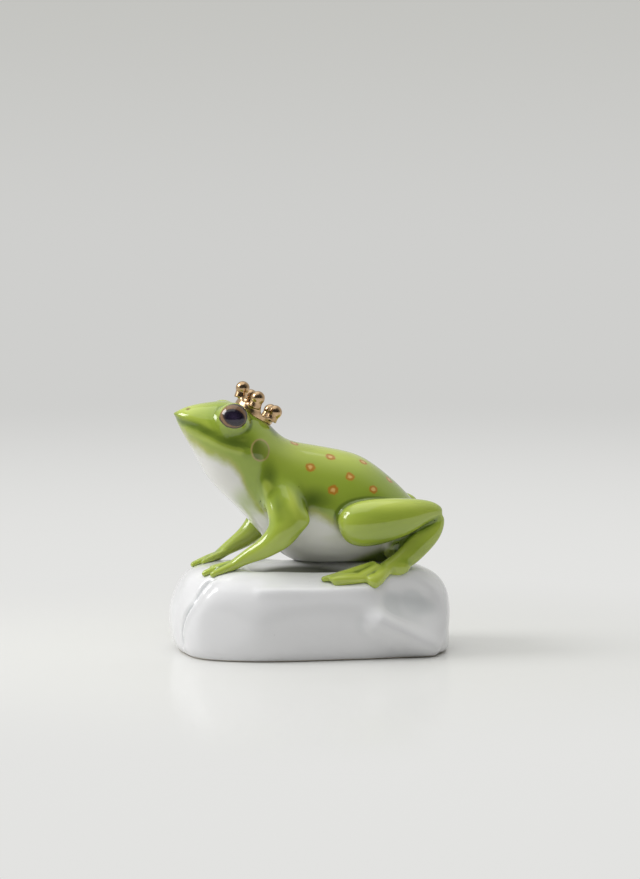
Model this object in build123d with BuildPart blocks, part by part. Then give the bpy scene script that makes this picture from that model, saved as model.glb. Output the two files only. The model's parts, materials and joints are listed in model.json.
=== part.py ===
from build123d import *

import os
from collections import namedtuple
from math import asin, cos, degrees, exp, pi, radians, sin, sqrt

# Crowned porcelain frog on a rock, as the slip-cast pieces that are luted together before firing.
# Millimetres, +Z up, origin at the middle of the rock's flat foot.
# The frog looks towards -X and its left side is -Y. The frog's own heights start at the rock's seat.

# Rock
ROCK_LENGTH = 91.0
ROCK_DEPTH = 62.0
ROCK_HEIGHT = 29.5
ROCK_SQUARENESS = 3.0  # exponent of the plan: 2 is an oval, higher is closer to a rectangle
ROCK_OUTLINE_POINTS = 40
ROCK_WALL = 4.0
FOOT_RIM = 6.0  # width of the bare rim that the rock stands on
FOOT_RECESS = 0.8
VENT_DIAMETER = 6.0  # lets the kiln gases out of the hollow rock
VENT_X = 14.0

# Rise as a share of the rock's height, reach as a share of its half length and half depth
RockLevel = namedtuple("RockLevel", "rise reach")
ROCK_PROFILE = (
    RockLevel(0.00, 0.930),
    RockLevel(0.07, 0.965),
    RockLevel(0.19, 0.990),
    RockLevel(0.36, 1.000),
    RockLevel(0.52, 0.990),
    RockLevel(0.68, 0.955),
    RockLevel(0.80, 0.905),
    RockLevel(0.89, 0.830),
    RockLevel(0.96, 0.700),
    RockLevel(1.00, 0.500),
)

# Swellings and hollows of the rock: bearing in degrees from the tail end, rise as above,
# spread in degrees and height as a share, gain as a share of the reach
Lump = namedtuple("Lump", "bearing rise spread height gain")
LUMPS = (
    Lump(-90, 0.92, 40, 0.13, -0.17),
    Lump(90, 0.92, 40, 0.13, -0.17),
    Lump(-35, 0.95, 18, 0.08, 0.08),
    Lump(35, 0.95, 18, 0.08, 0.08),
    Lump(180, 0.90, 26, 0.10, 0.05),
    Lump(-8, 0.03, 30, 0.12, 0.04),
    Lump(-36, 0.12, 12, 0.20, 0.05),
    Lump(-48, 0.66, 12, 0.15, -0.065),
    Lump(-60, 0.28, 12, 0.16, 0.025),
    Lump(-126, 0.35, 10, 0.25, 0.020),
    Lump(-141, 0.35, 11, 0.30, -0.025),
    Lump(-161, 0.75, 6, 0.22, -0.030),
    Lump(-168, 0.30, 6, 0.28, -0.035),
    Lump(48, 0.55, 16, 0.20, -0.045),
    Lump(112, 0.40, 18, 0.30, -0.030),
    Lump(150, 0.35, 14, 0.25, 0.020),
)

# Trunk and head: one hollow figure, parted at the neck
BODY_WALL = 3.0
BODY_VENT_DIAMETER = 5.0  # joins the hollow trunk to the hollow rock

# Top and bottom of each slice as (x, z) on the middle plane
Slice = namedtuple("Slice", "top bottom half_width")
FIGURE = (
    Slice((-45.1, 49.1), (-44.9, 48.1), 0.8),
    Slice((-43.0, 50.1), (-43.7, 45.8), 3.8),
    Slice((-38.6, 51.6), (-41.2, 41.0), 7.3),
    Slice((-33.0, 52.5), (-38.0, 35.3), 10.7),
    Slice((-26.9, 52.6), (-34.3, 28.7), 13.1),
    Slice((-20.4, 50.3), (-29.5, 23.0), 14.4),
    Slice((-14.0, 45.6), (-23.9, 17.6), 14.8),
    Slice((-8.4, 40.6), (-18.2, 11.2), 15.2),
    Slice((-0.6, 38.4), (-12.0, 4.6), 16.4),
    Slice((8.0, 36.8), (-3.2, -0.6), 17.6),
    Slice((16.6, 34.4), (9.0, -1.9), 18.0),
    Slice((24.2, 29.5), (21.0, -1.9), 17.0),
    Slice((30.3, 24.2), (29.6, -0.4), 14.0),
    Slice((35.0, 19.0), (35.2, 3.0), 9.6),
    Slice((38.2, 14.0), (38.4, 7.0), 4.4),
    Slice((39.3, 11.6), (39.3, 9.4), 1.4),
)
NECK_TOP = (-11.4, 42.8)
NECK_BOTTOM = (-20.6, 14.8)

# Mouth: a groove along each side of the head, as (x, z) points from the snout to the corner
MOUTH = ((-42.9, 47.2), (-39.2, 44.7), (-36.3, 43.7), (-30.3, 41.0), (-24.0, 38.9), (-20.8, 38.6))
MOUTH_WIDTH = 0.6
MOUTH_DEPTH = 0.6
NOSTRIL_X = -40.6
NOSTRIL_Y = 2.8
NOSTRIL_DIAMETER = 1.1

# Buttons set in sockets of the head: the eyes, in round swellings, and the ear drums
Button = namedtuple("Button", "diameter bulge setting")
EYE = Button(9.3, 2.3, 1.6)
TYMPANUM = Button(6.8, 0.7, 1.2)
BUTTON_CLEARANCE = 0.05
ORBIT_CENTRE = (-27.0, 9.9, 47.5)
ORBIT_RADIUS = 5.5
EYE_LOOK = (-0.17, 0.86, 0.48)
TYMPANUM_X = -19.0
TYMPANUM_Z = 37.8

# Crown: a scalloped band with ball-tipped prongs
CROWN_BASE = (-18.5, 48.9)
CROWN_TILT = 38.0
CROWN_RADIUS = 6.4
CROWN_BAND_THICKNESS = 1.4
CROWN_BAND_RISE = 1.9
CROWN_BAND_SINK = 3.6
CROWN_FLARE = 0.5
CROWN_SCALLOP_RADIUS = 2.1
PRONG_COUNT = 5
PRONG_FOOT_RADIUS = 2.2
PRONG_NECK_RADIUS = 1.8
PRONG_BALL_RADIUS = 2.3
PRONG_BALL_HEIGHT = 4.1
PRONG_BALL_REACH = 7.0  # from the crown's axis
PRONG_LEAN = 0.8  # how far the ring of balls stands forward of the band
PRONG_SEAT = 0.8  # how deep the foot of a prong sits in the band
PRONG_CLEARANCE = 0.05

# Limbs of the left side: a chain of round sections, side is the radius across, rise the radius upwards
Knot = namedtuple("Knot", "x y z side rise")
FORELEG = (
    Knot(-13.4, -6.6, 31.5, 3.6, 4.8),
    Knot(-12.3, -11.3, 26.2, 4.5, 6.2),
    Knot(-11.2, -15.6, 20.4, 4.8, 6.6),
    Knot(-11.1, -18.2, 15.3, 4.8, 6.1),
    Knot(-13.1, -19.0, 10.7, 4.5, 4.9),
    Knot(-16.6, -18.3, 7.4, 3.7, 3.8),
    Knot(-20.9, -17.0, 4.6, 2.9, 2.9),
    Knot(-24.6, -15.8, 2.6, 2.5, 2.2),
    Knot(-28.0, -14.8, 0.4, 2.5, 1.7),
    Knot(-30.8, -14.2, -1.4, 1.8, 1.2),
    Knot(-32.2, -14.0, -2.2, 0.7, 0.5),
)
HIND_LEG = (
    Knot(6.3, -18.6, 12.0, 1.7, 2.1),
    Knot(7.3, -18.9, 12.3, 3.9, 4.5),
    Knot(10.0, -19.3, 12.9, 5.8, 6.5),
    Knot(15.0, -19.7, 13.6, 6.7, 7.5),
    Knot(22.0, -19.5, 14.6, 6.5, 7.1),
    Knot(28.3, -18.9, 15.7, 5.7, 5.9),
    Knot(34.0, -18.0, 16.8, 4.4, 4.2),
    Knot(38.4, -17.3, 16.9, 3.0, 2.7),
    Knot(40.6, -16.9, 16.3, 1.4, 1.3),
)
# The feet keep their distance from the rock's side
FOOT_INSET = 9.0
FOOT_LINE = FOOT_INSET - ROCK_DEPTH / 2
HIND_FOOT = (
    Knot(39.6, -17.0, 15.8, 2.1, 2.1),
    Knot(38.5, -17.4, 12.0, 2.1, 2.9),
    Knot(35.5, -18.2, 8.5, 2.2, 3.6),
    Knot(31.6, -19.0, 5.2, 2.3, 3.9),
    Knot(27.5, FOOT_LINE + 2.1, 2.0, 2.5, 3.5),
    Knot(23.0, FOOT_LINE + 1.0, -0.1, 2.7, 2.7),
    Knot(18.6, FOOT_LINE + 0.1, -1.6, 2.8, 1.8),
    Knot(14.8, FOOT_LINE - 0.6, -2.2, 2.0, 1.3),
    Knot(12.8, FOOT_LINE - 0.9, -2.6, 0.8, 0.5),
)

# Fingers and toes of the left side: root, middle and tip of each, lift is their height over the rock
Bead = namedtuple("Bead", "x y lift radius")
DIGIT_SLICES = 5
TIP_SHARE = 0.97  # how full a digit's stem is where it enters its round tip
FINGERS = (
    (Bead(-25.4, -16.2, 2.9, 1.1), Bead(-30.4, -15.7, 1.2, 1.35), Bead(-34.6, -15.2, 0.6, 1.2)),
    (Bead(-26.4, -14.9, 2.4, 1.2), Bead(-31.6, -12.9, 1.2, 1.4), Bead(-36.6, -11.6, 0.6, 1.25)),
    (Bead(-25.6, -13.7, 2.7, 1.0), Bead(-30.2, -11.2, 1.3, 1.2), Bead(-33.8, -8.6, 0.5, 1.1)),
)
TOES = (
    (
        Bead(18.0, FOOT_LINE + 1.3, 1.1, 1.4),
        Bead(9.6, FOOT_LINE - 0.3, 1.0, 1.7),
        Bead(0.2, FOOT_LINE - 1.7, 0.6, 1.2),
    ),
    (
        Bead(18.6, FOOT_LINE - 0.7, 0.9, 1.3),
        Bead(10.6, FOOT_LINE - 2.8, 1.0, 1.65),
        Bead(3.6, FOOT_LINE - 3.7, 0.6, 1.3),
    ),
    (
        Bead(22.4, FOOT_LINE + 0.4, 1.2, 1.5),
        Bead(18.9, FOOT_LINE - 2.2, 1.2, 2.1),
        Bead(16.0, FOOT_LINE - 4.0, 1.0, 2.2),
    ),
)

# Locating stubs of the limbs, which plug into the trunk's wall
STUB_DIAMETER = 5.0
STUB_ROOT = 2.0  # how far the stub reaches into its limb
STUB_CLEARANCE = 0.1
SHOULDER = (-10.6, 18.5)
HIP = (20.0, 15.0)

SIDES = {"left": -1, "right": 1}
ACROSS = Vector(0, 1, 0)


def rock_reach(bearing, rise, half_length, half_depth):
    """Distance from the middle to the rock's lumpy plan at a bearing."""
    along = abs(cos(bearing) / half_length) ** ROCK_SQUARENESS
    across = abs(sin(bearing) / half_depth) ** ROCK_SQUARENESS
    gain = 1.0
    for lump in LUMPS:
        turn = (degrees(bearing) - lump.bearing + 180) % 360 - 180
        gain += lump.gain * exp(-((turn / lump.spread) ** 2) - ((rise - lump.rise) / lump.height) ** 2)
    return gain * (along + across) ** (-1 / ROCK_SQUARENESS)


def rock_sections():
    """Closed outlines of the rock from its foot to its seat."""
    bearings = [2 * pi * k / ROCK_OUTLINE_POINTS for k in range(ROCK_OUTLINE_POINTS)]
    sections = []
    for level in ROCK_PROFILE:
        half_length = ROCK_LENGTH / 2 * level.reach
        half_depth = ROCK_DEPTH / 2 * level.reach
        reaches = [rock_reach(bearing, level.rise, half_length, half_depth) for bearing in bearings]
        with BuildSketch(Plane.XY.offset(level.rise * ROCK_HEIGHT)) as section:
            with BuildLine():
                Spline([(r * cos(b), r * sin(b)) for r, b in zip(reaches, bearings)], periodic=True)
            make_face()
        sections.append(section.sketch)
    return sections


def middle_point(point):
    """A point of the frog's middle plane, from its x and its height over the seat."""
    return Vector(point[0], 0, ROCK_HEIGHT + point[1])


def cross_plane(top, bottom):
    """The plane across the frog through two points of its middle plane, facing the tail."""
    up = middle_point(top) - middle_point(bottom)
    centre = (middle_point(top) + middle_point(bottom)) / 2
    return Plane(origin=centre, x_dir=ACROSS, z_dir=ACROSS.cross(up))


def figure_sections(slices, inset):
    """Oval slices of the trunk and head, drawn in by a wall, where there is room for one."""
    sections = []
    for piece in slices:
        half_height = (middle_point(piece.top) - middle_point(piece.bottom)).length / 2
        if min(half_height, piece.half_width) > inset:
            with BuildSketch(cross_plane(piece.top, piece.bottom)) as section:
                Ellipse(piece.half_width - inset, half_height - inset)
            sections.append(section.sketch)
    return sections


def knot_point(knot, side):
    """Where a knot of a limb lies on the left or right side."""
    return Vector(knot.x, -side * knot.y, ROCK_HEIGHT + knot.z)


def digit(beads, side):
    """A finger or toe: a round stem that follows the rock through its beads, with a round tip."""
    places = []
    for bead in beads:
        top, _ = outer_hit(rock_form.part, Axis((bead.x, -side * bead.y, 0), (0, 0, 1)))
        places.append(top + Vector(0, 0, bead.lift))
    root, middle, tip = [bead.radius for bead in beads]
    with BuildLine():
        course = Spline(places)
    slices = []
    for k in range(DIGIT_SLICES):
        t = k / (DIGIT_SLICES - 1)
        radius = root * (1 - t) * (1 - 2 * t) + middle * 4 * t * (1 - t) + TIP_SHARE * tip * t * (2 * t - 1)
        along = course % t
        with BuildSketch(Plane(origin=course @ t, x_dir=along.cross(Vector(0, 0, 1)), z_dir=along)) as cut:
            Circle(radius)
        slices.append(cut.sketch)
    with BuildPart() as whole:
        loft(slices)
        with Locations(places[-1]):
            Sphere(tip)
    return whole.part


def limb_sections(chain, side):
    """Oval slices square to a chain of knots."""
    sections = []
    for k, knot in enumerate(chain):
        before = chain[max(k - 1, 0)]
        after = chain[min(k + 1, len(chain) - 1)]
        along = (knot_point(after, side) - knot_point(before, side)).normalized()
        across = (ACROSS - along * ACROSS.dot(along)).normalized()
        with BuildSketch(Plane(origin=knot_point(knot, side), x_dir=across, z_dir=along)) as section:
            Ellipse(knot.side, knot.rise)
        sections.append(section.sketch)
    return sections


def outer_hit(body, axis):
    """The last point and normal where an axis leaves a body."""
    hits = body.find_intersection_points(axis)
    return max(hits, key=lambda hit: (hit[0] - axis.position).dot(axis.direction))


# Rock: its outer form, which trims all that stands on it
with BuildPart() as rock_form:
    loft(rock_sections())

# Figure: the outer form of trunk and head together, which trims the limbs
with BuildPart() as figure_form:
    loft(figure_sections(FIGURE, 0))

neck = cross_plane(NECK_TOP, NECK_BOTTOM)

with BuildPart() as figure_hollow:
    loft(figure_sections(FIGURE, BODY_WALL))
    split(bisect_by=Plane.XY.offset(ROCK_HEIGHT + BODY_WALL))

with BuildPart() as limb_stub_holes:
    for x, z in (SHOULDER, HIP):
        for side in SIDES.values():
            skin, _ = outer_hit(figure_form.part, Axis((x, 0, ROCK_HEIGHT + z), (0, side, 0)))
            with BuildSketch(Plane(origin=skin, z_dir=(0, side, 0))):
                Circle(STUB_DIAMETER / 2 + STUB_CLEARANCE)
            extrude(amount=BODY_WALL + STUB_ROOT, both=True)

# Rock base: a hollow casting with a foot rim and a vent under it
with BuildPart() as rock_base:
    add(rock_form.part)
    foot = ROCK_PROFILE[0].reach
    seat = ROCK_PROFILE[-2].reach
    hollow = []
    for height, reach in ((ROCK_WALL, foot), (ROCK_HEIGHT - ROCK_WALL, seat)):
        with BuildSketch(Plane.XY.offset(height)) as section:
            Ellipse(ROCK_LENGTH / 2 * reach - ROCK_WALL, ROCK_DEPTH / 2 * reach - ROCK_WALL)
        hollow.append(section.sketch)
    loft(hollow, ruled=True, mode=Mode.SUBTRACT)
    with BuildSketch():
        Ellipse(ROCK_LENGTH / 2 * foot - FOOT_RIM, ROCK_DEPTH / 2 * foot - FOOT_RIM)
    extrude(amount=FOOT_RECESS, mode=Mode.SUBTRACT)
    with Locations((VENT_X, 0, 0)):
        Cylinder(VENT_DIAMETER / 2, 3 * ROCK_WALL, mode=Mode.SUBTRACT)
    with Locations((VENT_X, 0, ROCK_HEIGHT)):
        Cylinder(BODY_VENT_DIAMETER / 2, 3 * ROCK_WALL, mode=Mode.SUBTRACT)
rock_base.part.label = "rock_base"

# Trunk: the hollow body behind the neck, seated on the rock
with BuildPart() as trunk:
    add(figure_form.part)
    split(bisect_by=neck, keep=Keep.TOP)
    add(figure_hollow.part, mode=Mode.SUBTRACT)
    add(rock_form.part, mode=Mode.SUBTRACT)
    add(limb_stub_holes.part, mode=Mode.SUBTRACT)
    with Locations((VENT_X, 0, ROCK_HEIGHT)):
        Cylinder(BODY_VENT_DIAMETER / 2, 3 * BODY_WALL, mode=Mode.SUBTRACT)
trunk.part.label = "trunk"


def button(place, look, size):
    """A domed button with a short shank."""
    across = look.cross(Vector(0, 0, 1)).normalized()
    radius = size.diameter / 2
    dome = (radius**2 + size.bulge**2) / (2 * size.bulge)
    half = asin(radius / dome) / 2
    shoulder = (dome * sin(half), size.bulge - dome * (1 - cos(half)))
    with BuildPart() as whole:
        with BuildSketch(Plane(origin=place, x_dir=across, z_dir=across.cross(look))):
            with BuildLine():
                Polyline((0, size.bulge), (0, -size.setting), (radius, -size.setting), (radius, 0))
                ThreePointArc((radius, 0), shoulder, (0, size.bulge))
            make_face()
        revolve(axis=Axis(place, look))
    return whole.part


def socket(place, look, size):
    """The round hole that a button is set in, open to the outside."""
    with BuildPart() as hole:
        with BuildSketch(Plane(origin=place - look * (size.setting + BUTTON_CLEARANCE), z_dir=look)):
            Circle(size.diameter / 2 + BUTTON_CLEARANCE)
        extrude(amount=size.setting + size.diameter)
    return hole.part


def eye_place(side):
    """Middle of an eye's rim, flush with its swelling, and the way that the eye looks."""
    orbit = Vector(ORBIT_CENTRE[0], side * ORBIT_CENTRE[1], ROCK_HEIGHT + ORBIT_CENTRE[2])
    look = Vector(EYE_LOOK[0], side * EYE_LOOK[1], EYE_LOOK[2]).normalized()
    return orbit + look * sqrt(ORBIT_RADIUS**2 - (EYE.diameter / 2) ** 2), look


def tympanum_place(side):
    """Middle of an ear drum's rim, on the head's skin, and the skin's normal."""
    return outer_hit(figure_form.part, Axis((TYMPANUM_X, 0, ROCK_HEIGHT + TYMPANUM_Z), (0, side, 0)))


# Head: the hollow front of the figure, with eye swellings, mouth and nostrils
with BuildPart() as mouth_groove:
    with BuildSketch(Plane.XZ):
        with BuildLine():
            lower = Spline([(x, ROCK_HEIGHT + z - MOUTH_WIDTH / 2) for x, z in MOUTH])
            upper = Spline([(x, ROCK_HEIGHT + z + MOUTH_WIDTH / 2) for x, z in MOUTH])
            Line(lower @ 0, upper @ 0)
            Line(lower @ 1, upper @ 1)
        make_face()
    extrude(amount=ROCK_DEPTH / 2, both=True)
    loft(figure_sections(FIGURE[1:9], MOUTH_DEPTH), mode=Mode.SUBTRACT)

with BuildPart() as head_form:
    add(figure_form.part)
    split(bisect_by=neck, keep=Keep.BOTTOM)
    for side in SIDES.values():
        with Locations((ORBIT_CENTRE[0], side * ORBIT_CENTRE[1], ROCK_HEIGHT + ORBIT_CENTRE[2])):
            Sphere(ORBIT_RADIUS)

with BuildPart() as head:
    add(head_form.part)
    add(figure_hollow.part, mode=Mode.SUBTRACT)
    add(mouth_groove.part, mode=Mode.SUBTRACT)
    for side in SIDES.values():
        add(socket(*eye_place(side), EYE), mode=Mode.SUBTRACT)
        add(socket(*tympanum_place(side), TYMPANUM), mode=Mode.SUBTRACT)
        upwards = Axis((NOSTRIL_X, side * NOSTRIL_Y, ROCK_HEIGHT), (0, 0, 1))
        nostril, _ = outer_hit(figure_form.part, upwards)
        with Locations(nostril):
            Sphere(NOSTRIL_DIAMETER / 2, mode=Mode.SUBTRACT)
head.part.label = "head"

# Crown: a scalloped band that sits on the head, and its prongs
crown_tilt = radians(CROWN_TILT)
crown_plane = Plane(
    origin=middle_point(CROWN_BASE),
    x_dir=(-cos(crown_tilt), 0, sin(crown_tilt)),
    z_dir=(sin(crown_tilt), 0, cos(crown_tilt)),
)
prong_bearings = [2 * pi * k / PRONG_COUNT for k in range(PRONG_COUNT)]


def prong(bearing, clearance):
    """A tapered stem from the band to its ball, with the ball."""
    foot_at = Vector(CROWN_RADIUS * cos(bearing), CROWN_RADIUS * sin(bearing), CROWN_BAND_RISE - PRONG_SEAT)
    ball_out = PRONG_BALL_REACH * Vector(cos(bearing), sin(bearing), 0)
    ball_at = ball_out + Vector(PRONG_LEAN, 0, PRONG_BALL_HEIGHT)
    foot_at = crown_plane.from_local_coords(foot_at)
    ball_at = crown_plane.from_local_coords(ball_at)
    up = ball_at - foot_at
    sections = []
    for place, radius in ((foot_at, PRONG_FOOT_RADIUS), (ball_at, PRONG_NECK_RADIUS)):
        with BuildSketch(Plane(origin=place, x_dir=up.cross(ACROSS), z_dir=up)) as section:
            Circle(radius + clearance)
        sections.append(section.sketch)
    with BuildPart() as whole:
        loft(sections)
        with Locations(ball_at):
            Sphere(PRONG_BALL_RADIUS + clearance)
    return whole.part


with BuildPart() as crown_band:
    with BuildSketch(Plane(origin=crown_plane.origin, x_dir=crown_plane.x_dir, z_dir=-crown_plane.y_dir)):
        with BuildLine():
            inner = CROWN_RADIUS - CROWN_BAND_THICKNESS / 2
            outer = CROWN_RADIUS + CROWN_BAND_THICKNESS / 2
            Polyline(
                (inner - CROWN_FLARE, -CROWN_BAND_SINK),
                (outer - CROWN_FLARE, -CROWN_BAND_SINK),
                (outer, CROWN_BAND_RISE),
                (inner, CROWN_BAND_RISE),
                close=True,
            )
        make_face()
    revolve(axis=Axis(crown_plane.origin, crown_plane.z_dir))
    for bearing in prong_bearings:
        between = bearing + pi / PRONG_COUNT
        out = crown_plane.from_local_coords(Vector(cos(between), sin(between), 0)) - crown_plane.origin
        dip = crown_plane.from_local_coords(Vector(0, 0, CROWN_BAND_RISE + CROWN_SCALLOP_RADIUS / 3))
        with BuildSketch(Plane(origin=dip, z_dir=out)):
            Circle(CROWN_SCALLOP_RADIUS)
        extrude(amount=2 * CROWN_RADIUS, mode=Mode.SUBTRACT)
    add(head_form.part, mode=Mode.SUBTRACT)
    for bearing in prong_bearings:
        add(prong(bearing, PRONG_CLEARANCE), mode=Mode.SUBTRACT)
crown_band.part.label = "crown_band"

pieces = [rock_base.part, trunk.part, head.part, crown_band.part]

for number, bearing in enumerate(prong_bearings, start=1):
    with BuildPart() as crown_prong:
        add(prong(bearing, 0))
        add(head_form.part, mode=Mode.SUBTRACT)
    crown_prong.part.label = f"crown_prong_{number}"
    pieces.append(crown_prong.part)

def limb_stub(place, side):
    """The peg of a limb, from its root in the limb to the inside of the trunk's wall."""
    x, z = place
    skin, _ = outer_hit(figure_form.part, Axis((x, 0, ROCK_HEIGHT + z), (0, side, 0)))
    with BuildPart() as stub:
        with BuildSketch(Plane(origin=skin - ACROSS * side * BODY_WALL, z_dir=(0, side, 0))):
            Circle(STUB_DIAMETER / 2)
        extrude(amount=BODY_WALL + STUB_ROOT)
    return stub.part


# Limbs, eyes and ear drums of both sides, each limb trimmed to what it sits on
for name, side in SIDES.items():
    with BuildPart() as foreleg:
        loft(limb_sections(FORELEG, side))
        for finger in FINGERS:
            add(digit(finger, side))
        add(rock_form.part, mode=Mode.SUBTRACT)
        add(figure_form.part, mode=Mode.SUBTRACT)
        add(limb_stub(SHOULDER, side))
    foreleg.part.label = f"foreleg_{name}"

    with BuildPart() as hind_leg:
        loft(limb_sections(HIND_LEG, side))
        add(figure_form.part, mode=Mode.SUBTRACT)
        add(limb_stub(HIP, side))
    hind_leg.part.label = f"hind_leg_{name}"

    with BuildPart() as hind_foot:
        loft(limb_sections(HIND_FOOT, side))
        for toe in TOES:
            add(digit(toe, side))
        add(rock_form.part, mode=Mode.SUBTRACT)
        add(figure_form.part, mode=Mode.SUBTRACT)
        add(hind_leg.part, mode=Mode.SUBTRACT)
    hind_foot.part.label = f"hind_foot_{name}"

    with BuildPart() as eye:
        add(button(*eye_place(side), EYE))
    eye.part.label = f"eye_{name}"

    with BuildPart() as tympanum:
        add(button(*tympanum_place(side), TYMPANUM))
    tympanum.part.label = f"tympanum_{name}"

    pieces += [foreleg.part, hind_leg.part, hind_foot.part, eye.part, tympanum.part]

os.makedirs("parts", exist_ok=True)
for piece in pieces:
    export_step(piece, f"parts/{piece.label}.step")
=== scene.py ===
"""Looks of a crowned porcelain frog that sits on a white rock.

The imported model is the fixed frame. Its pieces are fused into soft, glazed skins, parted again at their
seams, painted, and stood in a plain studio. Lengths are in millimetres where a name ends in _mm or a class
says so, and Blender's own metres elsewhere.
"""

from __future__ import annotations

import json
import logging
import math
from collections.abc import Iterator
from contextlib import contextmanager
from dataclasses import dataclass, field
from enum import Enum

import bpy
import numpy as np
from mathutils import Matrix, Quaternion, Vector
from mathutils.bvhtree import BVHTree

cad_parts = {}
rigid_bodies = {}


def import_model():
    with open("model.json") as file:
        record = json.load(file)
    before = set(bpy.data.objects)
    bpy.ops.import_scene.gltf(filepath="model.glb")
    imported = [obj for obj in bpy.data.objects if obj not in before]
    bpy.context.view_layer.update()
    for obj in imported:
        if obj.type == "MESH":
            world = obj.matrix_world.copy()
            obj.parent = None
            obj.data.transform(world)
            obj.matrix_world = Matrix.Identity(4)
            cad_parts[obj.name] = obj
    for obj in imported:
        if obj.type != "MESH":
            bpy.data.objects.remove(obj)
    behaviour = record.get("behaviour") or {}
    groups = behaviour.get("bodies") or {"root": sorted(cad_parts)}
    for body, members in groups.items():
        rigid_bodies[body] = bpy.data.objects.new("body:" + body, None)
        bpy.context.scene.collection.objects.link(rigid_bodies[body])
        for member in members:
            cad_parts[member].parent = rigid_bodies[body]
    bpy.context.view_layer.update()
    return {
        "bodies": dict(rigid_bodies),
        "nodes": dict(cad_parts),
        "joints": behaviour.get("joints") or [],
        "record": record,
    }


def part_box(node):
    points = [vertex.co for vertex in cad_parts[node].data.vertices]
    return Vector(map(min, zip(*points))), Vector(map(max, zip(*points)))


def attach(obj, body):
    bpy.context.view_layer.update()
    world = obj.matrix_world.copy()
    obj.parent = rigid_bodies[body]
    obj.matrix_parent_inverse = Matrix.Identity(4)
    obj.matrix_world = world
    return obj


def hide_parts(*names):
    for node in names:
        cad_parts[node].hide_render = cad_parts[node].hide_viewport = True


LOG = logging.getLogger("frog_figurine")
MM = 0.001
BODY = "root"
MERGE_GAP = 1e-6  # metres within which loose corners are one point
SEAT = 29.5  # height of the rock's top in millimetres, where the frog's own heights start

Point = tuple[float, float, float]
Colour = tuple[float, float, float, float]
Piece = bpy.types.Object
Material = bpy.types.Material
Tree = bpy.types.NodeTree
Node = bpy.types.Node
Socket = bpy.types.NodeSocket


def paint(code: str) -> Colour:
    """Turns a colour chart code into linear light.

    Args:
        code: Six hexadecimal digits, red, green and blue.

    Returns:
        Linear red, green, blue and a full alpha.
    """
    shares = [int(code[k : k + 2], 16) / 255 for k in (0, 2, 4)]
    red, green, blue = [s / 12.92 if s <= 0.04045 else ((s + 0.055) / 1.055) ** 2.4 for s in shares]
    return red, green, blue, 1.0


class Side(Enum):
    """The frog's own left and right."""

    LEFT = -1
    RIGHT = 1

    @property
    def word(self) -> str:
        """The word that ends the names of this side's nodes."""
        return self.name.lower()


class Sum(Enum):
    """Arithmetic that the paint masks use."""

    ADD = "ADD"
    TAKE = "SUBTRACT"
    TIMES = "MULTIPLY"
    OVER = "DIVIDE"
    MOST = "MAXIMUM"


class Slot(Enum):
    """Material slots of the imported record."""

    WHITE = "white_glaze"
    GREEN = "green_glaze"
    GILT = "gilt"
    EYE = "eye_glaze"
    EAR = "ear_glaze"


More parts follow.
